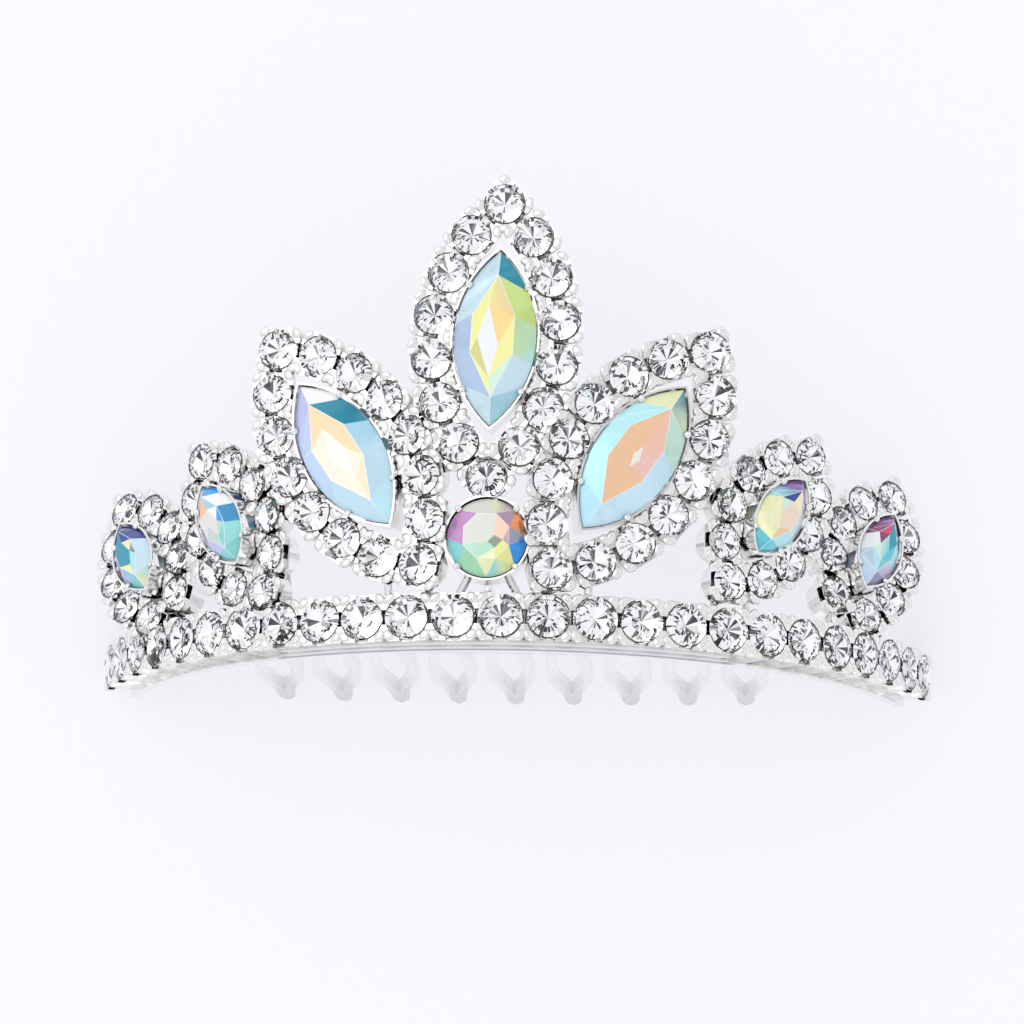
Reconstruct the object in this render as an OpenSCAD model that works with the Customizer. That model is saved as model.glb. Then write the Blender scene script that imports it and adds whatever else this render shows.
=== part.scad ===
/* [Band] */
// Radius of the arc that the stones of the band and the motifs stand on
arc_r = 44.5; // [44:0.25:46]
// Number of stones along the band
band_count = 25; // [23:2:25]
// Distance between neighbouring stones along the band
band_pitch = 4.74; // [4.7:0.02:4.8]
// Diameter of a band stone
band_stone_d = 4.1; // [3.9:0.05:4.15]
// Thickness of the plain strip behind the settings
strip_t = 1; // [0.9:0.05:1.1]
// How far the strip reaches below the middle of the band stones
strip_below = 3.05; // [2.8:0.05:3.2]

/* [Motifs] */
// Diameter of the small stones round the three big motifs
big_ring_stone_d = 3.86; // [3.7:0.02:3.9]
// Diameter of the small stones round the four low motifs
low_ring_stone_d = 3.4; // [3.2:0.02:3.44]
// Length of the pointed stone in a big motif
big_stone_l = 18; // [17.6:0.1:18.2]
// Width of the pointed stone in a big motif
big_stone_w = 8.3; // [8:0.05:8.35]
// Diameter of the round stone under the centre motif
round_stone_d = 8; // [7.8:0.05:8.05]

/* [Comb] */
// Number of looped teeth
tooth_count = 9; // [7:2:9]
// Distance between the middles of neighbouring teeth
tooth_pitch = 6.05; // [6:0.05:6.1]
// Length of the middle tooth behind the spine
tooth_l = 20.2; // [19.4:0.1:20.2]
// Thickness of the spine
spine_t = 1.9; // [1.8:0.1:2]

/* [Hidden] */
fine = 40;
// Settings: wall of the round part, play round the stone, rim above the girdle, seat below it
wall = 0.24;
play = 0.06;
rim = 0.25;
seat = 1.75;
seat_clear = 2;
// Their square top: its wall, how far it reaches below the girdle, its cut corners, and the gaps
// between its four prongs
top_wall = 0.3;
top_down = 0.5;
corner = 0.45;
prong_gap = 1.5;
prong_down = 0.35;
prong_past = 0.1;
// Depth of the settings below the girdles of their stones: band and ends, and the lighter ones
deep = 2.4;
thin = 2.1;
// Bezels of the big pointed, low pointed and round stones: how far their girdles stand above those
// of the small stones, then the rim above and the seat below, and the back
big_z = 1;
low_z = 1.9;
round_z = 0.5;
bezel_lip = 0.25;
bezel_seat = 2.1;
bezel_back = 1.5;
bezel_ledge = 0.9;
bezel_clear = 3;
gem_play = 0.16;
bezel_wall = 0.2;
// Cut of the small stones, as shares of the diameter: table, crown and pavilion
cut_table = 0.56;
cut_crown = 0.16;
cut_deep = 0.38;
// Cut of the bigger stones: table as shares of the width and the length, crown and pavilion
gem_table = [0.58, 0.52];
round_table = [0.55, 0.55];
gem_crown = 1.1;
gem_deep = 1.7;
// Links and wires that join the settings
link_w = 1.5;
link_t = 0.3;
wire_r = 0.45;

// Sizes of a motif: stones in the ring, half length and half width of the ring, ring stone,
// pointed stone, share of each side of the ring that holds stones, depth of the settings, height
// of the pointed stone's girdle
BIG = [14, 14.2, 6.5, big_ring_stone_d, big_stone_l, big_stone_w, 1, thin, big_z];
MEDIUM = [10, 8.65, 4.7, low_ring_stone_d, 9.6, 5.3, 1, thin, low_z];
LOW = [9, 8.5, 4.4, low_ring_stone_d, 9.8, 4.7, 0.863, deep, low_z];
function ring_count(s) = s[0];
function ring_stone(s) = s[3];
function gem(s) = [s[4] / 2, s[5] / 2];
function depth(s) = s[7];
function gem_z(s) = s[8];
function plate(s) = -(seat + depth(s)) / 2;

// Motifs: place along the arc, height, lean to the right, turn to the right, tilt back,
// how far the girdles stand behind the arc, sizes
CENTRE = [-1.1, 28.3, 2.5, 0, 0, 0, BIG];
LEFT = [-16.3, 16.8, -35, 0, 0, 0, BIG];
RIGHT = [12.9, 16.5, 34.5, 0, 0, 0, BIG];
LEFT_MEDIUM = [-30.4, 10.8, -32, 0, 0, 0, MEDIUM];
RIGHT_MEDIUM = [28.6, 12, 35, 0, 0, 0, MEDIUM];
LEFT_END = [-46.35, 9.15, -37.9, 18.5, 14, 0.15, LOW];
RIGHT_END = [45.6, 10.7, 30.8, -21, 14, 1.4, LOW];
ROUND = [-1.5, 7.9, 0, 0, 0, 0];
MOTIFS = [CENTRE, LEFT, RIGHT, LEFT_MEDIUM, RIGHT_MEDIUM, LEFT_END, RIGHT_END];
function along(m) = m[0];
function height(m) = m[1];
function lean(m) = m[2];
function turn(m) = m[3];
function tilt(m) = m[4];
function behind(m) = m[5];
function sizes(m) = m[6];

// Strip
strip_lap = 0.2;
strip_out = arc_r - deep + strip_lap;
strip_mid = strip_out - strip_t / 2;
strip_above = 2.8;
strip_angle = 149;
foot_v = 2.1;
// Wires of the round stone: how far apart they start, and how far below its middle
round_legs = 1.7;
round_legs_down = 3;

// Comb: the spine is a flat arc, with its two ends close behind the strip
spine_r = 110;
spine_w = 4;
spine_half = 28;
spine_z = -1.35;
spine_y = 10.8;
tooth_drop = 4.6;
tooth_half = 2.45;
tooth_root = 1.9;
tooth_tip = 0.95;
tooth_t = 1.4;
tooth_lap = 0.6;
prong_w = 1.1;
// Shares of a tooth's length: where it is widest, where its round end starts, how far its gap reaches
wide_at = 0.43;
end_at = 0.86;
gap_to = 0.78;
tab_u = 24.5;
tab_w = 3;
tab_l = 5.2;
tab_t = 0.7;
tab_gap = 0.12;

// How it lies: turned onto its back, and moved so that its box stands on the origin
lay_lean = 16.87;
lay_shift = [0.2, -15.25, 33.3];

// Places on the arc
function arc_angle(u) = u / arc_r * 180 / PI;
function turned(p, a) = [p.x * cos(a) - p.y * sin(a), p.x * sin(a) + p.y * cos(a), p.z];
function motif_point(m, p, z) =
    let (x = p.x * cos(lean(m)) + p.y * sin(lean(m)), y = p.y * cos(lean(m)) - p.x * sin(lean(m)),
         t = tilt(m), q = turned([x, y * sin(t) - z * cos(t), y * cos(t) + z * sin(t)], turn(m)))
    turned([q.x, q.y + behind(m) - arc_r, q.z + height(m)], arc_angle(along(m))) + [0, arc_r, 0];
function foot(p, du) =
    let (a = atan2(p.x, arc_r - p.y) + arc_angle(du))
    [strip_mid * sin(a), arc_r - strip_mid * cos(a), foot_v];

function band_place(i) = [(i - (band_count - 1) / 2) * band_pitch, 0, 0, 0, 0, 0];

// Pointed oval of half length l and half width w: two arcs of one radius
function oval_r(l, w) = (l * l + w * w) / (2 * w);
function oval_half(l, w) = asin(l / oval_r(l, w));
function oval_angle(l, w, t) = let (h = oval_half(l, w)) t <= 0.5 ? h - 4 * h * t : 4 * h * t - 3 * h;
function oval_at(l, w, t) =
    let (r = oval_r(l, w), f = oval_angle(l, w, t))
    [(t <= 0.5 ? 1 : -1) * (r * cos(f) - (r - w)), r * sin(f)];

// Places round a ring, and the turn that lines a square up with the ring there
function ring_t(s, k) =
    let (steps = floor(s[0] / 2), right = k <= steps, t = s[6] * (right ? k : s[0] - k) / steps / 2)
    right ? t : 1 - t;
function ring_at(s, k) = oval_at(s[1], s[2], ring_t(s, k));
function ring_turn(s, k) = let (t = ring_t(s, k)) (t <= 0.5 ? 1 : -1) * oval_angle(s[1], s[2], t);
function scaled(row, c, z) = [for (p = row) [p.x * c.x, p.y * c.y, z]];

module lay_down() translate(lay_shift) rotate([-90 - lay_lean, 0, 0]) children();

module on_arc(m)
    translate([0, arc_r, height(m)]) rotate([0, 0, arc_angle(along(m))])
        translate([0, behind(m) - arc_r, 0]) rotate([0, 0, turn(m)])
        rotate([90 - tilt(m), 0, 0]) rotate([0, 0, -lean(m)]) children();

module on_band() for (i = [0 : band_count - 1])
    on_arc(band_place(i)) children();

module on_ring(s) for (k = [0 : ring_count(s) - 1])
    translate(ring_at(s, k)) rotate([0, 0, ring_turn(s, k)]) children();

module oval(g, grow) {
    r = oval_r(g.x, g.y);
    intersection_for (side = [-1, 1])
        translate([side * (r - g.y), 0]) circle(r + grow, $fn = 4 * fine);
}

// One small setting: a round cup with a square top, and the seat that is cut into it
module cup(d, low) {
    a = d / 2 + play + top_wall;
    b = a - corner;
    translate([0, 0, -low]) cylinder(h = low, d = d + 2 * (play + wall), $fn = fine);
    translate([0, 0, -top_down]) linear_extrude(top_down + rim)
        polygon([[a, b], [b, a], [-b, a], [-a, b], [-a, -b], [-b, -a], [b, -a], [a, -b]]);
}

module cup_seat(d) {
    translate([0, 0, -seat]) cylinder(h = seat + seat_clear, d = d + 2 * play, $fn = fine);
    reach = d / 2 + play + top_wall + prong_past;
    for (a = [0, 90]) rotate([0, 0, a])
        translate([-reach, -prong_gap / 2, -prong_down])
            cube([2 * reach, prong_gap, prong_down + seat_clear]);
}

module link(a, b, z) {
    d = b - a;
    translate([a.x, a.y, z - link_t / 2]) rotate([0, 0, atan2(d.y, d.x)])
        translate([0, -link_w / 2, 0]) cube([norm(d), link_w, link_t]);
}

// A short round wire between two points
module wire(a, b) {
    d = b - a;
    translate(a) rotate([0, acos(d.z / norm(d)), atan2(d.y, d.x)])
        cylinder(h = norm(d), r = wire_r, $fn = 8);
}

module motif_metal(m) {
    s = sizes(m);
    on_arc(m) {
        on_ring(s) cup(ring_stone(s), depth(s));
        for (k = [0 : ring_count(s) - 1])
            link(ring_at(s, k), ring_at(s, (k + 1) % ring_count(s)), plate(s));
        translate([0, 0, -bezel_back]) linear_extrude(bezel_back + gem_z(s) + bezel_lip)
            oval(gem(s), gem_play + bezel_wall);
    }
}

module motif_seats(m) {
    s = sizes(m);
    on_arc(m) {
        on_ring(s) cup_seat(ring_stone(s));
        translate([0, 0, gem_z(s) - bezel_seat]) linear_extrude(bezel_clear) oval(gem(s), gem_play);
        translate([0, 0, -2 * bezel_back]) linear_extrude(2 * bezel_back) oval(gem(s), -bezel_ledge);
    }
}

// Wires from settings of a motif down to the strip
module legs(m, places) for (k = places) {
    p = motif_point(m, ring_at(sizes(m), k), plate(sizes(m)));
    wire(p, foot(p, 0));
}

// A wire between settings of two neighbouring motifs
module tie(m, k, n, j)
    wire(motif_point(m, ring_at(sizes(m), k), plate(sizes(m))),
         motif_point(n, ring_at(sizes(n), j), plate(sizes(n))));

module strip() translate([0, arc_r, -strip_below]) rotate([0, 0, -90 - strip_angle / 2])
    rotate_extrude(angle = strip_angle, $fn = 4 * fine)
        translate([strip_out - strip_t, 0]) square([strip_t, strip_below + strip_above]);

// Two tabs on the strip, which lie on the ends of the comb's spine
module tabs() for (side = [-1, 1])
    translate([0, arc_r, 0]) rotate([0, 0, side * arc_angle(tab_u)])
        translate([-tab_w / 2, -strip_mid, spine_z + spine_t + tab_gap]) cube([tab_w, tab_l, tab_t]);

module frame() color("silver") lay_down() difference() {
    union() {
        strip();
        tabs();
        on_band() cup(band_stone_d, deep);
        for (m = MOTIFS) motif_metal(m);
        on_arc(ROUND) translate([0, 0, -thin]) cylinder(h = thin + round_z + bezel_lip,
            d = round_stone_d + 2 * (gem_play + bezel_wall), $fn = 2 * fine);
        legs(LEFT, [7, 8]);
        legs(RIGHT, [6, 7]);
        legs(LEFT_MEDIUM, [4, 6]);
        legs(RIGHT_MEDIUM, [4, 5]);
        legs(LEFT_END, [4, 5, 6]);
        legs(RIGHT_END, [3, 4, 5]);
        for (side = [-1, 0, 1]) {
            p = motif_point(ROUND, [side * round_legs, -round_legs_down], plate(BIG));
            wire(p, foot(p, side * round_legs));
        }
        tie(LEFT, 11, LEFT_MEDIUM, 2);
        tie(RIGHT, 3, RIGHT_MEDIUM, 7);
        tie(LEFT_MEDIUM, 8, LEFT_END, 2);
        tie(RIGHT_MEDIUM, 2, RIGHT_END, 7);
    }
    on_band() cup_seat(band_stone_d);
    for (m = MOTIFS) motif_seats(m);
    on_arc(ROUND) translate([0, 0, -seat])
        cylinder(h = seat + bezel_clear, d = round_stone_d + 2 * gem_play, $fn = 2 * fine);
}

// A cut stone: rows of points round it from the table to the pavilion, and a point at the bottom
module cut_stone(table, girdle, depth) {
    n = len(table);
    points = concat(table, girdle, [[0, 0, -depth]]);
    polyhedron(points, concat(
        [[for (i = [n - 1 : -1 : 0]) i]],
        [for (i = [0 : n - 1]) [i, (i + 1) % n, n + i]],
        [for (i = [0 : n - 1]) [(i + 1) % n, n + (i + 1) % n, n + i]],
        [for (i = [0 : n - 1]) [n + i, n + (i + 1) % n, 2 * n]]));
}

// A small round stone: eight-sided, its table turned against the girdle by half a side
module small_stone(d) {
    row = [for (i = [0 : 7]) [d / 2 * cos(45 * i), d / 2 * sin(45 * i)]];
    turned_row = [for (i = [0 : 7]) [d / 2 * cos(45 * i + 22.5), d / 2 * sin(45 * i + 22.5)]];
    cut_stone(scaled(turned_row, [cut_table, cut_table], cut_crown * d), scaled(row, [1, 1], 0),
              cut_deep * d);
}

// A pointed stone: sixteen-sided, with a pointed table and the keel drawn to one point
module pointed_stone(g) {
    girdle = [for (i = [0 : 15]) oval_at(g.x, g.y, 1 - i / 16)];
    table = [for (i = [0 : 15]) oval_at(g.x, g.y, 1 - (i + 0.5) / 16)];
    cut_stone(scaled(table, gem_table, gem_crown), scaled(girdle, [1, 1], 0), gem_deep);
}

module ring_stones(m) color("white") lay_down() on_arc(m)
    on_ring(sizes(m)) small_stone(ring_stone(sizes(m)));

module motif_stone(m) color("lightcyan") lay_down() on_arc(m)
    translate([0, 0, gem_z(sizes(m))]) pointed_stone(gem(sizes(m)));

module band_stones() color("white") lay_down() on_band() small_stone(band_stone_d);

module round_stone() color("lavender") lay_down() on_arc(ROUND) translate([0, 0, round_z]) {
    r = round_stone_d / 2;
    row = [for (i = [0 : 15]) [r * cos(22.5 * i), r * sin(22.5 * i)]];
    inner = [for (i = [0 : 15]) [r * cos(22.5 * i + 11.25), r * sin(22.5 * i + 11.25)]];
    cut_stone(scaled(inner, round_table, gem_crown), scaled(row, [1, 1], 0), gem_deep);
}

// Half width of a tooth at a share of its length
function tooth_w(t) =
    t < wide_at ? tooth_root + (tooth_half - tooth_root) * sin(90 * t / wide_at)
    : t < end_at ? tooth_tip + (tooth_half - tooth_tip) * (1 + cos(180 * (t - wide_at) / wide_at)) / 2
    : tooth_tip * sqrt(1 - pow((t - end_at) / (1 - end_at), 2));

// A shape on both sides of the y axis, from the points of its right side
module mirrored(row) polygon(concat(row, [for (i = [len(row) - 1 : -1 : 0]) [-row[i].x, row[i].y]]));

module tooth(l) {
    gap_l = l - tooth_lap;
    linear_extrude(tooth_t) difference() {
        mirrored([for (i = [0 : 14]) [tooth_w(i / 14), i / 14 * l]]);
        mirrored([for (i = [0 : 9]) let (t = gap_to * i / 9)
            [max(tooth_w(t) - prong_w, 0.05), tooth_lap + t * gap_l]]);
    }
}

module comb() color("whitesmoke", 0.5) lay_down() union() {
    angle = 2 * asin(spine_half / spine_r);
    translate([0, spine_y + spine_r, spine_z]) rotate([0, 0, -90 - angle / 2])
        rotate_extrude(angle = angle, $fn = 6 * fine)
            translate([spine_r - spine_w, 0]) square([spine_w, spine_t]);
    for (i = [0 : tooth_count - 1]) {
        x = (i - (tooth_count - 1) / 2) * tooth_pitch;
        sag = spine_r - sqrt(spine_r * spine_r - x * x);
        translate([x, spine_y + spine_w - tooth_lap + sag, spine_z]) rotate([-tooth_drop, 0, 0])
            tooth(tooth_l + tooth_lap - sag);
    }
}

frame();
comb();
band_stones();
ring_stones(CENTRE);  // centre_ring_stones
ring_stones(LEFT);  // left_ring_stones
ring_stones(RIGHT);  // right_ring_stones
ring_stones(LEFT_MEDIUM);  // left_medium_ring_stones
ring_stones(RIGHT_MEDIUM);  // right_medium_ring_stones
ring_stones(LEFT_END);  // left_end_ring_stones
ring_stones(RIGHT_END);  // right_end_ring_stones
motif_stone(CENTRE);  // centre_stone
motif_stone(LEFT);  // left_stone
motif_stone(RIGHT);  // right_stone
round_stone();
motif_stone(LEFT_MEDIUM);  // left_medium_stone
motif_stone(RIGHT_MEDIUM);  // right_medium_stone
motif_stone(LEFT_END);  // left_end_stone
motif_stone(RIGHT_END);  // right_end_stone
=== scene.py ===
import math
import random

import bmesh
import bpy
from mathutils import Matrix, Vector


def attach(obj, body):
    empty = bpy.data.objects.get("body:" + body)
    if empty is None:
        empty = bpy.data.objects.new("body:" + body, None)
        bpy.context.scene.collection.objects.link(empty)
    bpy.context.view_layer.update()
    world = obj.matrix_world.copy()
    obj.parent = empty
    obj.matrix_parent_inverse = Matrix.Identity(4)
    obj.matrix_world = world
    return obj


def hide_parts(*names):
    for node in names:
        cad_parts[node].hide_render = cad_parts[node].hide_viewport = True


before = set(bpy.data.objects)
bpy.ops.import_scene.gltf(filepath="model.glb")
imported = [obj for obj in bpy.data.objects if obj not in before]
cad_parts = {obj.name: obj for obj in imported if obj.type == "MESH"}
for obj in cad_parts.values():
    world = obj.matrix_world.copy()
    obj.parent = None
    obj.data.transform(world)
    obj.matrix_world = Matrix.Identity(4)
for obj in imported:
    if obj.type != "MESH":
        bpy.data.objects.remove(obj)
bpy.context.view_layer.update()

random.seed(7)

MM = 0.001

# The part's own values, in millimetres and degrees
ARC_R = 44.5
BAND_COUNT, BAND_PITCH, BAND_D = 25, 4.74, 4.1
# A motif's ring: its stones, half the length and half the width of the oval through their middles, their
# diameter, and how much of the oval they cover. Its pointed stone: length, width, and how high its girdle is.
BIG = dict(count=14, half_l=14.2, half_w=6.5, stone=3.86, share=1.0, length=18.0, width=8.3, girdle=1.0)
MEDIUM = dict(count=10, half_l=8.65, half_w=4.7, stone=3.4, share=1.0, length=9.6, width=5.3, girdle=1.9)
LOW = dict(count=9, half_l=8.5, half_w=4.4, stone=3.4, share=0.863, length=9.8, width=4.7, girdle=1.9)
# Where each motif is: along the arc, height, lean, turn, tilt back, behind the arc
MOTIFS = {
    "centre": ((-1.1, 28.3, 2.5, 0, 0, 0), BIG),
    "left": ((-16.3, 16.8, -35, 0, 0, 0), BIG),
    "right": ((12.9, 16.5, 34.5, 0, 0, 0), BIG),
    "left_medium": ((-30.4, 10.8, -32, 0, 0, 0), MEDIUM),
    "right_medium": ((28.6, 12, 35, 0, 0, 0), MEDIUM),
    "left_end": ((-46.35, 9.15, -37.9, 18.5, 14, 0.15), LOW),
    "right_end": ((45.6, 10.7, 30.8, -21, 14, 1.4), LOW),
}
ROUND, ROUND_Z, ROUND_D = (-1.5, 7.9, 0, 0, 0, 0), 0.5, 8.0
# How far the tiara lies from flat on its back, and where its origin is then
LAY_LEAN = 16.87
LAY_SHIFT = (0.2, -15.25, 33.3)

# Small stones: how far they reach over the rims of their cups, and how high they stand on them
OVER, RAISE = 0.24, 0.17
# Their sides. Girdle and table are shares of the radius, crown and pavilion shares of the cup's diameter.
SMALL_SIDES, GIRDLE, SMALL_TABLE, SMALL_CROWN, SMALL_PAVILION = 20, 0.04, 0.52, 0.12, 0.2
# How far each is turned and rocked at most
SMALL_TURN, SMALL_ROCK = 30, 3

# Claw tips: half sizes, how far outside the stone and above its setting they are, and how far they dip
SMALL_CLAW = dict(size=(0.55, 0.72, 0.26), out=0.55, up=0.18, dip=-12)
BIG_CLAW = dict(size=(0.42, 0.36, 0.2), out=0.1, up=0.3, dip=-28)
CLAW_ANGLES = (45, 135, 225, 315)
# Where a pointed stone's first claw is, as a share of its outline. The other three mirror it.
CLAW_SHARE = 0.115

# Coated stones: the points of their outline, the crown's height, and the wall and the keel under it
OUTLINE, CROWN, WALL, KEEL = 32, 1.1, 0.06, 1.6
# The table's corners, as shares of half the width and half the length, and of the radius
POINTED_TABLE = [(0, 0.7), (0.47, 0.24), (0.47, -0.2), (0, -0.7), (-0.57, -0.2), (-0.57, 0.24)]
ROUND_TABLE = 0.62
# The bevelled edges between their facets, in a pale material as painted highlight lines: width, and the least
# angle
ARRIS_WIDTH, ARRIS_ANGLE = 0.025, 9

# The comb's spine: radius, width, half its length, height, place behind the band, and thickness.
# Its teeth: how many, how far apart, their length and droop, half their width where widest, at the root and
# at the tip, a prong's width, their thickness, and how far they lap over the spine.
COMB = dict(spine_r=110, spine_w=4, spine_half=28, spine_z=-1.35, spine_y=10.8, spine_t=1.9,
            count=9, pitch=6.05, length=20.2, drop=4.6,
            half=2.45, root=1.9, tip=0.95, prong=1.1, thick=1.4, lap=0.6)
# Shares of a tooth's length: the widest place, where the round tip begins, the last of the slot, and the
# first of the painted shade that darkens the plastic towards the tip
WIDEST, TIP_FROM, SLOT_END, TIP_SHADE_FROM = 0.43, 0.86, 0.8, 0.68
# Half the width of a tooth's blunt end, and half the narrowest slot
BLUNT, NARROW = 0.12, 0.02
# The share of its width that the spine keeps at its two ends
SPINE_END = 0.87735
# The rounding of the comb's edges, and the least angle that is rounded
COMB_ROUNDING, COMB_ANGLE = 0.35, 40
# How round a tube's section is: 1 is an ellipse, and less is nearer to a box
ROUNDNESS = 0.6


def turn(axis, degrees):
    return Matrix.Rotation(math.radians(degrees), 4, axis)


def shift(x, y, z):
    return Matrix.Translation((x, y, z))


LAID = turn("X", -90 - LAY_LEAN)
LAY = Matrix.Scale(MM, 4) @ shift(*LAY_SHIFT) @ LAID


def on_arc(where):
    """Where a motif's own flat frame lies: x to the right, y up, z out of the front."""
    along, height, lean, turned, tilt, behind = where
    return (LAY @ shift(0, ARC_R, height) @ turn("Z", math.degrees(along / ARC_R))
            @ shift(0, behind - ARC_R, 0) @ turn("Z", turned) @ turn("X", 90 - tilt) @ turn("Z", -lean))


def oval_angle(l, w, t):
    """Which way a pointed oval faces at a share t of the way round, clockwise from its upper point."""
    half = math.degrees(math.asin(2 * l * w / (l * l + w * w)))
    return half - 4 * half * t if t <= 0.5 else 4 * half * t - 3 * half


def oval_at(l, w, t):
    """The place at a share t of the way round a pointed oval. l is half its length and w half its width."""
    r = (l * l + w * w) / (2 * w)
    f = math.radians(oval_angle(l, w, t))
    return (1 if t <= 0.5 else -1) * (r * math.cos(f) - (r - w)), r * math.sin(f)


def ring_place(where, size, k):
    """The k-th setting of a motif, its square top in line with the ring."""
    count, l, w = size["count"], size["half_l"], size["half_w"]
    steps = count // 2
    right = k <= steps
    t = size["share"] * (k if right else count - k) / steps / 2
    t = t if right else 1 - t
    side = 1 if t <= 0.5 else -1
    return on_arc(where) @ shift(*oval_at(l, w, t), 0) @ turn("Z", side * oval_angle(l, w, t))


# Materials

def put(tree, socket, value):
    """Give an input a plain value, or link it to another node's output."""
    if isinstance(value, bpy.types.NodeSocket):
        tree.links.new(value, socket)
    else:
        socket.default_value = value


def feed(tree, target, *values, **inputs):
    """Fill a node's inputs, by order or by name."""
    for i, value in enumerate(values):
        put(tree, target.inputs[i], value)
    for key, value in inputs.items():
        put(tree, target.inputs[key.replace("_", " ")], value)
    return target


def node(tree, kind, *values, **inputs):
    return feed(tree, tree.nodes.new(kind), *values, **inputs)


def noise(tree, **inputs):
    return node(tree, "ShaderNodeTexNoise", **inputs).outputs["Fac"]


def ramp(tree, factor, low_at, low, high_at, high):
    """A colour that runs from low to high between two values of the factor."""
    made = node(tree, "ShaderNodeValToRGB", Fac=factor)
    ends = made.color_ramp.elements
    ends[0].position, ends[0].color = low_at, (*low, 1)
    ends[1].position, ends[1].color = high_at, (*high, 1)
    return made.outputs["Color"]


def mixed(tree, factor, first, second, blend="MIX"):
    """Two colours mixed. The Mix node keeps its colours at inputs 6 and 7 and output 2."""
    made = tree.nodes.new("ShaderNodeMix")
    made.data_type = "RGBA"
    made.blend_type = blend
    for i, value in ((0, factor), (6, first), (7, second)):
        put(tree, made.inputs[i], value)
    return made.outputs[2]


def attribute(tree, name):
    made = tree.nodes.new("ShaderNodeAttribute")
    made.attribute_name = name
    return made.outputs


def principled(name, **values):
    """A material, its node tree and its shader."""
    mat = bpy.data.materials.new(name)
    mat.use_nodes = True
    return mat, mat.node_tree, feed(mat.node_tree, mat.node_tree.nodes["Principled BSDF"], **values)


def plain(name, colour, **values):
    return principled(name, Base_Color=(*colour, 1), **values)[0]


def polished_silver():
    mat, tree, shader = principled("polished_silver", Metallic=1.0, Roughness=0.1)
    grain = noise(tree, Scale=900.0, Detail=3.0)
    metal = ramp(tree, grain, 0.35, (0.8, 0.79, 0.775), 0.65, (0.93, 0.925, 0.915))
    # Painted shade: an ambient occlusion node darkens the crevices between settings
    crevice = node(tree, "ShaderNodeAmbientOcclusion", Distance=0.9 * MM)
    crevice.samples = 8
    crevice_shade = ramp(tree, crevice.outputs["AO"], 0.2, (0.12, 0.1, 0.085), 0.52, (1, 1, 1))
    bump = node(tree, "ShaderNodeBump", Strength=0.08, Distance=0.02 * MM, Height=noise(tree, Scale=2500.0))
    feed(tree, shader, Base_Color=mixed(tree, 1.0, metal, crevice_shade, "MULTIPLY"), Normal=bump.outputs["Normal"])
    return mat


def clear_plastic():
    """Plastic that is more opaque at its rims, and darkened towards the teeth's tips as painted contact
    shadow.
    """
    mat, tree, shader = principled("clear_plastic", Roughness=0.08, IOR=1.49)
    # Painted shade: towards the teeth's tips the colour darkens and less light passes, for their shadow on
    # the floor
    tip = attribute(tree, "tip")["Fac"]
    feed(tree, shader, Base_Color=ramp(tree, tip, 0, (0.86, 0.86, 0.87), 1, (0.58, 0.58, 0.59)))
    see = node(tree, "ShaderNodeBsdfTransparent", Color=(0.985, 0.985, 0.987, 1))
    rim = node(tree, "ShaderNodeLayerWeight", Blend=0.35)
    spread = node(tree, "ShaderNodeMapRange", Value=rim.outputs["Facing"], To_Min=0.07, To_Max=0.42)
    tip_shaded_mix = tree.nodes.new("ShaderNodeMath")
    tip_shaded_mix.operation = "MULTIPLY_ADD"
    feed(tree, tip_shaded_mix, tip, 0.3, spread.outputs["Result"])
    mix = node(tree, "ShaderNodeMixShader", tip_shaded_mix.outputs["Value"], see.outputs["BSDF"],
               shader.outputs["BSDF"])
    feed(tree, tree.nodes["Material Output"], Surface=mix.outputs["Shader"])
    return mat


def coating(name):
    mat, tree, shader = principled(name, Metallic=0.2, Roughness=0.15,
                                   Coat_Weight=0.7, Coat_Roughness=0.01, Coat_IOR=1.45)
    feed(tree, shader, Base_Color=attribute(tree, "coat")["Color"])
    return mat


glass = plain("clear_crystal", (1, 1, 1), Roughness=0.0, IOR=1.54, Transmission_Weight=1.0)
mirror = plain("silver_foil", (0.97, 0.97, 0.98), Metallic=1.0, Roughness=0.03)
silver = polished_silver()
# Painted highlight: a pale material for the bevels along the coated stones' facet edges
edge_glint = plain("painted_glint_edge", (0.95, 0.97, 1), Metallic=0.2, Roughness=0.15)


# Meshes

def new_object(name, bm, materials, smooth=False):
    """An object that rides on the root. With smooth None, its faces stay as smooth or flat as made."""
    bmesh.ops.recalc_face_normals(bm, faces=bm.faces)
    me = bpy.data.meshes.new(name)
    bm.normal_update()
    bm.to_mesh(me)
    bm.free()
    for m in materials:
        me.materials.append(m)
    if smooth is not None:
        me.polygons.foreach_set("use_smooth", [smooth] * len(me.polygons))
    ob = bpy.data.objects.new(name, me)
    bpy.context.collection.objects.link(ob)
    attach(ob, "root")
    return ob


def bevelled(ob, name, width, segments, angle):
    bevel = ob.modifiers.new(name, "BEVEL")
    bevel.width = width * MM
    bevel.segments = segments
    bevel.angle_limit = math.radians(angle)
    return bevel


def tube(bm, place, stations, sides):
    """A closed tube with a rounded-box section.

    Each station is its middle, the direction across it, and half its width and half its height.
    """
    def boxy(v):
        return math.copysign(abs(v) ** ROUNDNESS, v)

    rings = []
    for (x, y, z), (ax, ay), half_w, half_h in stations:
        ring = []
        for i in range(sides):
            a = 2 * math.pi * i / sides
            c, s = boxy(math.cos(a)) * half_w, boxy(math.sin(a)) * half_h
            ring.append(bm.verts.new(place @ Vector((x + ax * c, y + ay * c, z + s))))
        rings.append(ring)
    for a, b in zip(rings, rings[1:]):
        for i in range(sides):
            j = (i + 1) % sides
            bm.faces.new([a[i], a[j], b[j], b[i]])
    bm.faces.new(rings[0][::-1])
    bm.faces.new(rings[-1])


# Small round stones: a table, twenty crown facets, and twenty foiled facets behind

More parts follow.
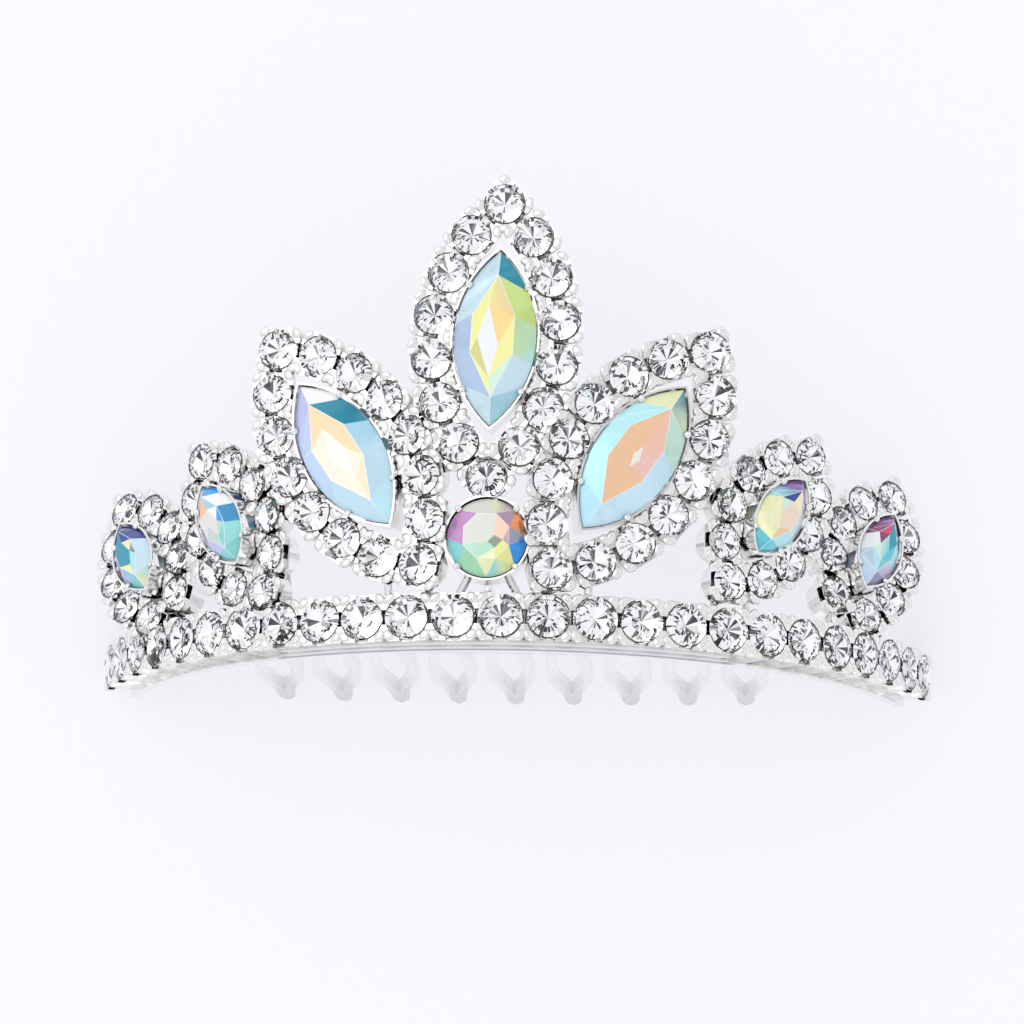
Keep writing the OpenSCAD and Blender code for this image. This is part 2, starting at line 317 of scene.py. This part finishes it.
def small_cut(bm, place, d):
    r, n = d / 2 + OVER, SMALL_SIDES

    def row(rho, z):
        angles = [2 * math.pi * i / n for i in range(n)]
        return [bm.verts.new(place @ Vector((rho * math.cos(a), rho * math.sin(a), z))) for a in angles]

    top, upper, lower = row(SMALL_TABLE * r, SMALL_CROWN * d), row(r, GIRDLE * r), row(r, 0)
    culet = bm.verts.new(place @ Vector((0, 0, -SMALL_PAVILION * d)))
    bm.faces.new(top)
    for i in range(n):
        j = (i + 1) % n
        bm.faces.new([top[i], upper[i], upper[j], top[j]])
        bm.faces.new([upper[i], lower[i], lower[j], upper[j]]).material_index = 1
        bm.faces.new([lower[i], culet, lower[j]]).material_index = 1


def small_stones(name, replaced, places, d):
    bm = bmesh.new()
    for place in places:
        spin = turn("Z", random.uniform(0, SMALL_TURN))
        rock = (turn("X", random.uniform(-SMALL_ROCK, SMALL_ROCK))
                @ turn("Y", random.uniform(-SMALL_ROCK, SMALL_ROCK)))
        small_cut(bm, place @ shift(0, 0, RAISE) @ rock @ spin, d)
    ob = new_object(name, bm, [glass, mirror])
    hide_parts(replaced)


def claws(place, spots, claw):
    """Rounded claw tips: each a small bead that leans towards the stone's middle."""
    for x, y, z, facing in spots:
        beads = bmesh.ops.create_icosphere(claw_mesh, subdivisions=2, radius=1.0)["verts"]
        m = (place @ shift(x, y, z + claw["up"]) @ turn("Z", facing) @ turn("Y", claw["dip"])
             @ Matrix.Diagonal((*claw["size"], 1)))
        for v in beads:
            v.co = m @ v.co


def claws_round(place, d, claw, z=0):
    """Four claw tips round a round stone."""
    rho = d / 2 + claw["out"]
    spots = [(rho * math.cos(math.radians(a)), rho * math.sin(math.radians(a)), z, a) for a in CLAW_ANGLES]
    claws(place, spots, claw)


claw_mesh = bmesh.new()
band_places = [on_arc(((i - (BAND_COUNT - 1) / 2) * BAND_PITCH, 0, 0, 0, 0, 0)) for i in range(BAND_COUNT)]
small_stones("band_stones_cut", "band_stones", band_places, BAND_D)
for place in band_places:
    claws_round(place, BAND_D, SMALL_CLAW)
for name, (where, size) in MOTIFS.items():
    places = [ring_place(where, size, k) for k in range(size["count"])]
    small_stones(name + "_ring_stones_cut", name + "_ring_stones", places, size["stone"])
    for place in places:
        claws_round(place, size["stone"], SMALL_CLAW)

# The rainbow coating's colours
PALETTE = {
    "white": "EEF2F4", "pearl": "F0E4DA", "pale": "DCDCD8", "mist": "CACCC4", "smoke": "8A90A8",
    "moss": "7E8874", "ice": "CFEAF6", "powder": "B9CFEC", "sky": "BCDAEA", "pool": "B0E4EE",
    "steel": "9CCBDF", "azure": "2E9EE0", "cobalt": "1A88D8", "denim": "3A8EC2", "navy": "2C3F8C",
    "ink": "2B4668", "teal": "2897B0", "deep_teal": "1D7C93", "aqua": "5CC6D6", "sea": "80C8C8",
    "lavender": "B4B8E2", "lilac": "C08CBE", "violet": "8E5CA6", "plum": "7E336E", "magenta": "B4488E",
    "mauve": "A88FA6", "mint": "D2EEDC", "celadon": "B6D4C8", "jade": "98CAA8", "lime": "D2EA8C",
    "sage": "D8DCB0", "olive": "D4D488", "lemon": "F2F09C", "straw": "F0F0BC", "butter": "FFDA8C",
    "sand": "EFC8A0", "cream": "EFDAC8", "peach": "F3BE98", "salmon": "F0BCA8", "rose": "F0BEB4",
    "orange": "EC8A50", "coral": "E5405A", "clay": "DE9A82",
}

# Which colour lies where on a coated stone, as shares of half the width and half the length.
# Each facet takes the colours that lie on it.
COATS = {
    "centre": [
        (-0.35, 0.8, "ice"), (-0.6, 0.5, "ice"), (-0.85, 0.15, "powder"), (-0.85, -0.15, "powder"),
        (-0.75, -0.5, "powder"), (-0.35, -0.8, "ice"), (0.15, 0.85, "teal"), (0.3, 0.68, "teal"),
        (0.36, 0.52, "mauve"), (0.62, 0.42, "lime"), (0.7, 0.2, "lime"), (0.65, -0.1, "lime"),
        (0.9, -0.2, "pool"), (0.7, -0.45, "ice"), (0.35, -0.75, "steel"), (0.1, -0.9, "pool"),
        (-0.05, 0.5, "lemon"), (0.2, 0.35, "butter"), (0.15, 0.15, "butter"), (0.15, -0.15, "lemon"),
        (-0.2, 0.05, "white"), (-0.4, 0.1, "lemon"), (-0.4, -0.3, "olive"), (0.05, -0.4, "mint"),
        (-0.1, -0.6, "lemon"),
    ],
    "left": [
        (-0.3, 0.8, "lavender"), (-0.55, 0.55, "lavender"), (-0.8, 0.35, "powder"), (-0.9, 0, "powder"),
        (-0.75, -0.4, "sky"), (-0.4, -0.75, "sky"), (0.12, 0.85, "white"), (0.35, 0.65, "white"),
        (0.75, 0.35, "deep_teal"), (0.6, 0.45, "teal"), (0.9, 0.05, "steel"), (0.9, -0.15, "sky"),
        (0.75, -0.4, "sky"), (0.45, -0.7, "sky"), (0.15, -0.85, "pool"), (-0.15, 0.5, "sand"),
        (0.15, 0.4, "sand"), (-0.3, 0.2, "cream"), (-0.05, 0.05, "pearl"), (-0.45, 0, "cream"),
        (0.3, 0, "sand"), (0.2, 0.2, "sand"), (0, -0.3, "cream"), (0.2, -0.4, "sand"),
        (-0.25, -0.35, "cream"),
    ],
    "right": [
        (-0.3, 0.8, "sage"), (-0.1, 0.6, "sage"), (-0.65, 0.5, "pool"), (-0.85, 0.1, "pool"),
        (-0.75, -0.35, "pool"), (-0.5, -0.6, "steel"), (-0.15, -0.85, "steel"), (0.12, 0.85, "deep_teal"),
        (0.3, 0.65, "sage"), (0.7, 0.35, "celadon"), (0.85, 0.05, "sky"), (0.8, -0.35, "sky"),
        (0.5, -0.6, "sky"), (0.15, -0.85, "sky"), (-0.15, 0.4, "peach"), (-0.3, 0.15, "peach"),
        (-0.4, 0, "peach"), (-0.25, -0.25, "peach"), (0.25, 0.25, "salmon"), (0.38, 0, "rose"),
        (0.2, -0.2, "salmon"), (0.1, -0.45, "peach"), (-0.15, -0.45, "peach"), (0, 0, "pearl"),
    ],
    "left_medium": [
        (0.3, 0.8, "azure"), (0.1, 0.9, "azure"), (-0.4, 0.8, "clay"), (-0.8, 0.4, "clay"),
        (-0.2, 0.43, "peach"), (0.14, 0.43, "steel"), (0.21, 0.19, "white"), (0.75, 0.35, "white"),
        (0.38, 0.01, "azure"), (0.9, -0.05, "denim"), (0.22, -0.19, "celadon"), (0.16, -0.42, "sea"),
        (-0.19, -0.42, "celadon"), (-0.29, -0.19, "mist"), (-0.48, 0.01, "pale"), (-0.3, 0.2, "pale"),
        (-0.03, 0, "pale"), (-0.95, -0.05, "lavender"), (-0.8, -0.38, "lavender"), (-0.35, -0.8, "sea"),
        (0.35, -0.8, "sea"), (0.8, -0.4, "sea"),
    ],
    "right_medium": [
        (0, 0.9, "violet"), (-0.3, 0.8, "violet"), (0.2, 0.75, "lilac"), (-0.5, 0.55, "navy"),
        (-0.2, 0.5, "navy"), (-0.8, 0.25, "pool"), (-0.4, 0.25, "mint"), (-0.75, -0.1, "straw"),
        (-0.45, -0.2, "straw"), (-0.3, -0.5, "straw"), (0.1, 0.35, "straw"), (0.35, 0.15, "cream"),
        (0.25, -0.2, "cream"), (0.35, -0.5, "sand"), (0.7, 0.3, "mint"), (0.65, -0.1, "mint"),
        (0.95, 0.15, "lavender"), (0.9, -0.3, "pool"), (0.55, -0.65, "steel"), (0, -0.75, "aqua"),
        (-0.4, -0.75, "aqua"), (0.1, -0.95, "aqua"), (0.8, 0.55, "lilac"),
    ],
    "left_end": [
        (-0.2, 0.9, "denim"), (-0.7, 0.6, "denim"), (-0.75, 0.2, "teal"), (-0.4, 0.35, "teal"),
        (-0.45, -0.05, "teal"), (0.15, 0.75, "navy"), (0.1, 0.55, "navy"), (0.45, 0.45, "navy"),
        (0.3, 0.2, "straw"), (0.6, 0.12, "white"), (0.45, -0.05, "ink"), (0.3, -0.3, "pool"),
        (0.6, -0.35, "ice"), (0.3, -0.65, "pool"), (0.7, -0.15, "ice"), (-0.1, -0.55, "straw"),
        (0.1, -0.85, "straw"), (-0.45, -0.5, "aqua"), (-0.95, -0.1, "lilac"), (-0.85, -0.4, "lavender"),
        (-0.3, -0.85, "sea"), (-0.95, 0.3, "lavender"),
    ],
    "right_end": [
        (0, 0.9, "violet"), (-0.4, 0.75, "violet"), (-0.1, 0.6, "magenta"), (0.4, 0.75, "lilac"),
        (-0.5, 0.45, "plum"), (-0.15, 0.4, "coral"), (-0.45, 0.2, "plum"), (-0.6, -0.05, "white"),
        (-0.2, 0.02, "mint"), (0.25, 0.3, "teal"), (0.15, 0.05, "aqua"), (0.75, 0.35, "aqua"),
        (0.95, 0.55, "lavender"), (0.85, 0.1, "steel"), (0.3, -0.15, "aqua"), (0.85, -0.3, "magenta"),
        (0.6, -0.25, "pool"), (-0.45, -0.4, "sky"), (-0.2, -0.55, "pool"), (0.2, -0.5, "sea"),
        (0.5, -0.6, "lavender"), (-0.1, -0.85, "powder"), (0.3, -0.85, "smoke"),
    ],
    "round": [
        (-0.5, 0.8, "mist"), (-0.15, 0.85, "mist"), (0.2, 0.85, "sage"), (0.5, 0.75, "mauve"),
        (0.65, 0.65, "mauve"), (0.85, 0.38, "orange"), (0.7, 0.3, "orange"), (0.95, 0.08, "moss"),
        (0.9, -0.22, "cobalt"), (0.72, -0.3, "cobalt"), (0.7, -0.6, "olive"), (0.5, -0.8, "olive"),
        (0.2, -0.9, "sea"), (-0.2, -0.85, "jade"), (-0.5, -0.75, "jade"), (-0.75, -0.5, "sea"),
        (-0.9, -0.2, "sea"), (-0.9, 0.15, "lilac"), (-0.85, 0.4, "lilac"), (-0.7, 0.65, "lilac"),
        (0.15, 0.35, "mist"), (0.35, 0.15, "salmon"), (0.5, 0.1, "clay"), (0.5, -0.08, "smoke"),
        (0.36, -0.33, "olive"), (0.1, -0.48, "sage"), (-0.12, -0.4, "jade"), (-0.3, -0.3, "celadon"),
        (-0.35, 0, "mist"), (-0.15, 0.3, "mist"), (0.23, -0.14, "moss"),
    ],
}

# Where four lines of the pavilion cross the table, as shares of half the width and half the length.
# The smaller pointed stones take the left one's.
INNER = {
    "centre": [(-0.18, 0.36), (0.1, -0.1), (-0.08, -0.48), (-0.42, -0.02)],
    "left": [(-0.04, 0.36), (0.2, -0.02), (0, -0.36), (-0.3, 0)],
    "right": [(0, 0.14), (0.12, -0.02), (0.02, -0.15), (-0.1, 0.01)],
    "round": [(0.2, 0.02), (0.42, -0.1), (0.22, -0.3), (0.04, -0.14)],
}

# How much lighter or darker a stone's coating is than its colours say, and the lightest that it gets
GAIN = {"centre": 0.95, "left": 1.12, "right": 1.18, "round": 1.2, "left_medium": 1.08}
LIGHTEST = 0.95

# Facets that run into each other without an edge
SOFT = {"centre": (18, 19, 20), "left": (18, 19), "right": (18, 19)}

# Between two places of the coating, how much more a distance across counts than one along, and how far a
# colour stays pure
ACROSS, PURE = 1.3, 0.06


def linear(hex_colour):
    out = []
    for i in (0, 2, 4):
        c = int(hex_colour[i:i + 2], 16) / 255
        out.append(c / 12.92 if c <= 0.04045 else ((c + 0.055) / 1.055) ** 2.4)
    return out


def pointed_cut(l, w, inner):
    """Corner points of a pointed stone's crown and its facets, with the pavilion's lines on its table."""
    outline = [(*oval_at(l, w, i / OUTLINE), 0) for i in range(OUTLINE)]
    points = outline + [(x * w, y * l, CROWN) for x, y in POINTED_TABLE + inner]
    # T is the table's first corner, and P is where the pavilion's lines begin
    T = OUTLINE
    P = T + len(POINTED_TABLE)
    facets = [[[P, P + 3, P + 2, P + 1]]]
    facets += [[f] for f in ([T, P, T + 1], [T + 1, P, P + 1], [T + 1, P + 1, T + 2], [T + 2, P + 1, P + 2],
                             [T + 2, P + 2, T + 3], [T + 3, P + 2, T + 4], [T + 4, P + 2, P + 3],
                             [T + 4, P + 3, T + 5], [T + 5, P + 3, P], [T + 5, P, T])]
    # First and last point on the outline, and the table corners that the facet meets
    for first, last, corners in [(0, 4, [0]), (4, 7, [0, 1]), (7, 10, [1, 2]), (10, 12, [2, 3]),
                                 (12, 16, [3]), (16, 20, [3]), (20, 22, [3, 4]), (22, 25, [4, 5]),
                                 (25, 28, [5, 0]), (28, OUTLINE, [0])]:
        half = (first + last) // 2 if len(corners) == 2 else last
        fan = [[T + corners[0], n, (n + 1) % OUTLINE] for n in range(first, half)]
        if half < last:
            fan.append([T + corners[0], half, T + corners[1]])
            fan += [[T + corners[1], n, (n + 1) % OUTLINE] for n in range(half, last)]
        facets.append(fan)
    return points, facets


def round_cut(r, inner):
    """The same for the round stone, whose table has eight corners."""
    def at(rho, degrees, z):
        a = math.radians(degrees)
        return rho * math.sin(a), rho * math.cos(a), z

    outline = [at(r, 360 / OUTLINE * i, 0) for i in range(OUTLINE)]
    table = [at(ROUND_TABLE * r, 45 * i + 22.5, CROWN) for i in range(8)]
    points = outline + table + [(x * r, y * r, CROWN) for x, y in inner]
    T = OUTLINE
    P = T + len(table)
    facets = [[[P, P + 3, P + 2, P + 1]]]
    facets += [[f] for f in ([T + 7, P, T], [T, P, P + 1, T + 1], [T + 1, P + 1, T + 2],
                             [T + 2, P + 1, P + 2, T + 3], [T + 3, P + 2, T + 4],
                             [T + 4, P + 2, P + 3, T + 5], [T + 5, P + 3, T + 6], [T + 6, P + 3, P, T + 7])]
    for i in range(8):
        facets.append([[T + i, n, (n + 1) % OUTLINE] for n in range(4 * i, 4 * i + 4)])
        facets.append([[T + i, T + (i - 1) % 8, 4 * i]])
    return points, facets


def coated_stone(name, place, l, w, cut):
    """A stone whose crown's facets each take the colours that lie on them, with a plain pavilion."""
    points, facets = cut
    gain = GAIN.get(name, 1)
    spots = [(x, y, [min(LIGHTEST, gain * v) for v in linear(PALETTE[c])]) for x, y, c in COATS[name]]
    soft = SOFT.get(name, ())
    middles = []
    for facet in facets:
        ids = sorted({i for face in facet for i in face})
        middles.append([sum(points[i][axis] for i in ids) / len(ids) / half
                        for axis, half in ((0, w), (1, l))])

    def apart(a, b):
        return math.hypot((a[0] - b[0]) * w / l * ACROSS, a[1] - b[1])

    def shade(choice, i):
        """The colour at the i-th point: the nearer a spot is, the more it counts."""
        xy = (points[i][0] / w, points[i][1] / l)
        weights = [1 / (apart(s, xy) + PURE) ** 3 for s in choice]
        return [sum(g * s[2][c] for g, s in zip(weights, choice)) / sum(weights) for c in range(3)] + [1.0]

    own = [[] for _ in facets]
    for spot in spots:
        own[min(range(len(facets)), key=lambda n: apart(middles[n], spot))].append(spot)
    bm = bmesh.new()
    layer = bm.loops.layers.float_color.new("coat")
    verts = [bm.verts.new(place @ Vector(p)) for p in points]
    wall = [bm.verts.new(place @ Vector((p[0], p[1], -WALL))) for p in points[:OUTLINE]]
    keel = bm.verts.new(place @ Vector((0, 0, -KEEL)))
    facet_of = {}
    for n, facet in enumerate(facets):
        choice = own[n] or [min(spots, key=lambda s: apart(s, middles[n]))]
        for ids in facet:
            face = bm.faces.new([verts[i] for i in ids])
            face.smooth = True
            for loop, i in zip(face.loops, ids):
                loop[layer] = shade(choice, i)
            facet_of[face] = soft[0] if n in soft else n
    for i in range(OUTLINE):
        j = (i + 1) % OUTLINE
        for corners in ([verts[i], wall[i], wall[j], verts[j]], [wall[i], keel, wall[j]]):
            for loop in bm.faces.new(corners).loops:
                loop[layer] = shade(spots, i)
    for edge in bm.edges:
        edge.smooth = len({facet_of.get(face, -1) for face in edge.link_faces}) == 1
    ob = new_object(name + "_stone_cut", bm, [coating(name + "_coating"), edge_glint], smooth=None)
    # The bevels take the pale second material, a painted highlight along the facet edges
    bevelled(ob, "painted_glint_edge", ARRIS_WIDTH, 1, ARRIS_ANGLE).material = 1
    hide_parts(name + "_stone")


for name, (where, size) in MOTIFS.items():
    l, w, girdle = size["length"] / 2, size["width"] / 2, size["girdle"]
    place = on_arc(where)
    coated_stone(name, place @ shift(0, 0, girdle), l, w, pointed_cut(l, w, INNER.get(name, INNER["left"])))
    x, y = oval_at(l + BIG_CLAW["out"], w + BIG_CLAW["out"], CLAW_SHARE)
    corners = [(x, y), (x, -y), (-x, y), (-x, -y)]
    spots = [(x, y, girdle, math.degrees(math.atan2(y * (w / l) ** 0.5, x))) for x, y in corners]
    claws(place, spots, BIG_CLAW)
coated_stone("round", on_arc(ROUND) @ shift(0, 0, ROUND_Z), ROUND_D / 2, ROUND_D / 2,
             round_cut(ROUND_D / 2, INNER["round"]))
claws_round(on_arc(ROUND), ROUND_D, BIG_CLAW, ROUND_Z)
new_object("claw_tips", claw_mesh, [silver], smooth=True)

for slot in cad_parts["frame"].material_slots:
    slot.material = silver

# Lines along the strip: half their angle, steps to each side, how thin they are at their ends, and how soon
# they are whole
LINE_ANGLE, LINE_STEPS, LINE_END, LINE_GROWTH = 33, 32, 0.25, 12
# The strip's pale face under the settings, its rolled lower lip, and a grey line under that, painted shade
# below the lip:
# inside the arc, height, half width, half height, colour, metallic, roughness
LINES = {
    "strip_face": (2.1, -2.2, 0.2, 0.32, "pale_face", (0.93, 0.93, 0.94), 0.1, 0.4),
    "strip_lip": (2.19, -2.74, 0.22, 0.24, "dull_lip", (0.88, 0.88, 0.89), 0.3, 0.4),
    # Painted shade: a grey line standing in for the shadow below the lip
    "strip_shade_line": (2.16, -2.99, 0.17, 0.07, "painted_shade_line", (0.5, 0.5, 0.51), 0.3, 0.5),
}
for name, (inside, z, half_w, half_h, coat, colour, metallic, roughness) in LINES.items():
    bm = bmesh.new()
    stations = []
    r = ARC_R - inside
    for i in range(2 * LINE_STEPS + 1):
        a = math.radians(LINE_ANGLE * (i / LINE_STEPS - 1))
        whole = min(1, (1 - abs(i / LINE_STEPS - 1)) * LINE_GROWTH + LINE_END)
        stations.append(((r * math.sin(a), ARC_R - r * math.cos(a), z), (-math.sin(a), math.cos(a)),
                         half_w * whole, half_h * whole))
    tube(bm, LAY, stations, 10)
    line = new_object(name, bm, [plain(coat, colour, Metallic=metallic, Roughness=roughness)], smooth=True)


# The comb, moulded in one piece: the same outlines as the part's, rounded

def tooth_width(t):
    """Half a tooth's width at a share t of its length."""
    c = COMB
    if t < WIDEST:
        return c["root"] + (c["half"] - c["root"]) * math.sin(math.pi / 2 * t / WIDEST)
    if t < TIP_FROM:
        fall = (1 + math.cos(math.pi * (t - WIDEST) / (TIP_FROM - WIDEST))) / 2
        return c["tip"] + (c["half"] - c["tip"]) * fall
    return c["tip"] * math.sqrt(max(0, 1 - ((t - TIP_FROM) / (1 - TIP_FROM)) ** 2))


def tooth(bm, place, l):
    """One tooth: two prongs that bow apart and join again, as a flat shape of even thickness."""
    tip_shade = bm.verts.layers.float["tip"]
    steps = 30
    rows = []
    for k in range(steps + 1):
        t = k / steps
        out = tooth_width(t) if k < steps else BLUNT
        gap = tooth_width(t) - COMB["prong"]
        xs = [-out, -gap, gap, out] if gap > NARROW and t < SLOT_END else [-out, 0, out]
        rows.append([[bm.verts.new(place @ Vector((x, t * l, z))) for x in xs] for z in (0, COMB["thick"])])
        for v in rows[-1][0] + rows[-1][1]:
            # Painted shade: how much the plastic darkens here, growing towards the tip
            v[tip_shade] = max(0, (t - TIP_SHADE_FROM) / (1 - TIP_SHADE_FROM)) ** 0.8

    def join(a, b, i, j):
        """Faces between two rows, from point i of one and point j of the next to the points after them."""
        for side in (0, 1):
            bm.faces.new([a[side][i], a[side][i + 1], b[side][j + 1], b[side][j]])

    def wall(a, b, i, j):
        bm.faces.new([a[0][i], b[0][j], b[1][j], a[1][i]])

    for a, b in zip(rows, rows[1:]):
        last_a, last_b = len(a[0]) - 1, len(b[0]) - 1
        join(a, b, 0, 0)
        join(a, b, last_a - 1, last_b - 1)
        wall(a, b, 0, 0)
        wall(a, b, last_a, last_b)
        if last_a == 3:
            wall(a, b, 1, 1)
            wall(a, b, 2, last_b - 1)
    for row in (rows[0], rows[-1]):
        for i in ([0, 2] if len(row[0]) == 4 else [0, 1]):
            bm.faces.new([row[0][i], row[0][i + 1], row[1][i + 1], row[1][i]])


def comb():
    c = COMB
    bm = bmesh.new()
    bm.verts.layers.float.new("tip")
    half = math.asin(c["spine_half"] / c["spine_r"])
    mid_r = c["spine_r"] - c["spine_w"] / 2
    steps = 30
    stations = []
    for i in range(2 * steps + 1):
        a = half * (i / steps - 1)
        y = c["spine_y"] + c["spine_r"] - mid_r * math.cos(a)
        end = SPINE_END if i in (0, 2 * steps) else 1
        stations.append(((mid_r * math.sin(a), y, c["spine_t"] / 2), (-math.sin(a), math.cos(a)),
                         c["spine_w"] / 2 * end, c["spine_t"] / 2))
    tube(bm, LAY @ shift(0, 0, c["spine_z"]), stations, 16)
    for i in range(c["count"]):
        x = (i - (c["count"] - 1) / 2) * c["pitch"]
        sag = c["spine_r"] - math.sqrt(c["spine_r"] ** 2 - x * x)
        root = shift(x, c["spine_y"] + c["spine_w"] - c["lap"] + sag, c["spine_z"])
        tooth(bm, LAY @ root @ turn("X", -c["drop"]), c["length"] + c["lap"] - sag)
    ob = new_object("comb_clear", bm, [clear_plastic()], smooth=True)
    bevelled(ob, "rounded", COMB_ROUNDING, 3, COMB_ANGLE)
    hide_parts("comb")


comb()

# Floor, light and camera

bm = bmesh.new()
bmesh.ops.create_grid(bm, x_segments=1, y_segments=1, size=3.0)
me = bpy.data.meshes.new("floor")
bm.to_mesh(me)
bm.free()
me.materials.append(plain("floor", (0.33, 0.33, 0.345), Roughness=0.6,
                          Emission_Color=(0.945, 0.95, 1, 1), Emission_Strength=0.64))
floor = bpy.data.objects.new("floor", me)
bpy.context.collection.objects.link(floor)

world = bpy.data.worlds.new("studio")
bpy.context.scene.world = world
world.use_nodes = True
tree = world.node_tree
directions = node(tree, "ShaderNodeTexCoord").outputs["Generated"]
room = noise(tree, Scale=13.0, Detail=1.0, Vector=directions)
# The crystals split a room of dark and light into strokes, and the metal reflects a softer one
stark = ramp(tree, room, 0.445, (0.02, 0.02, 0.025), 0.46, (0.97, 0.98, 1))
soft = ramp(tree, room, 0.38, (0.28, 0.28, 0.285), 0.45, (0.97, 0.98, 1))
ray = node(tree, "ShaderNodeLightPath").outputs
reflected = mixed(tree, ray["Transmission Depth"], soft, stark)
sky = mixed(tree, ray["Is Camera Ray"], reflected, (0.95, 0.96, 1, 1))
feed(tree, tree.nodes["Background"], Color=sky, Strength=1.05)


def area(name, at, size, power):
    """A round lamp that points at the tiara's middle."""
    data = bpy.data.lights.new(name, "AREA")
    data.shape = "DISK"
    data.size = size
    data.energy = power
    ob = bpy.data.objects.new(name, data)
    ob.location = at
    ob.rotation_euler = (Vector((0, 0, 0.01)) - Vector(at)).to_track_quat("-Z", "Y").to_euler()
    bpy.context.collection.objects.link(ob)


area("key", (-0.5, 0.55, 0.7), 1.0, 1.9)
area("fill", (0, -0.6, 0.15), 0.5, 0.55)
bpy.context.scene.view_settings.view_transform = "Standard"

# The camera's angles in the worn tiara's frame, the pixel where that frame's origin lies, the focal length in
# pixels, the distance in millimetres, the picture's width in pixels, and the sensor's
AZIMUTH, ELEVATION, ROLL, ORIGIN_PX, FOCAL_PX, DISTANCE = -3.03, -11.4, 1.26, (500.6, 616.5), 6000, 600
PICTURE_PX, SENSOR = 1024, 36
az, el, roll = (math.radians(a) for a in (AZIMUTH, ELEVATION, ROLL))
ahead = Vector((math.sin(az) * math.cos(el), math.cos(az) * math.cos(el), -math.sin(el)))
flat = Vector((math.cos(az), -math.sin(az), 0))
level = flat.cross(ahead)
across = flat * math.cos(roll) + level * math.sin(roll)
up = -flat * math.sin(roll) + level * math.cos(roll)
right_px, down_px = (v - PICTURE_PX / 2 for v in ORIGIN_PX)
eye = -DISTANCE * ahead - right_px / FOCAL_PX * DISTANCE * across + down_px / FOCAL_PX * DISTANCE * up
camera = bpy.data.cameras.new("camera")
camera.sensor_width = SENSOR
camera.lens = FOCAL_PX / PICTURE_PX * SENSOR
camera.clip_start = 0.01
camera_ob = bpy.data.objects.new("camera", camera)
laid = LAID.to_3x3()
axes = Matrix((laid @ across, laid @ up, laid @ -ahead)).transposed().to_4x4()
camera_ob.matrix_world = Matrix.Translation(LAY @ eye) @ axes
bpy.context.collection.objects.link(camera_ob)
bpy.context.scene.camera = camera_ob
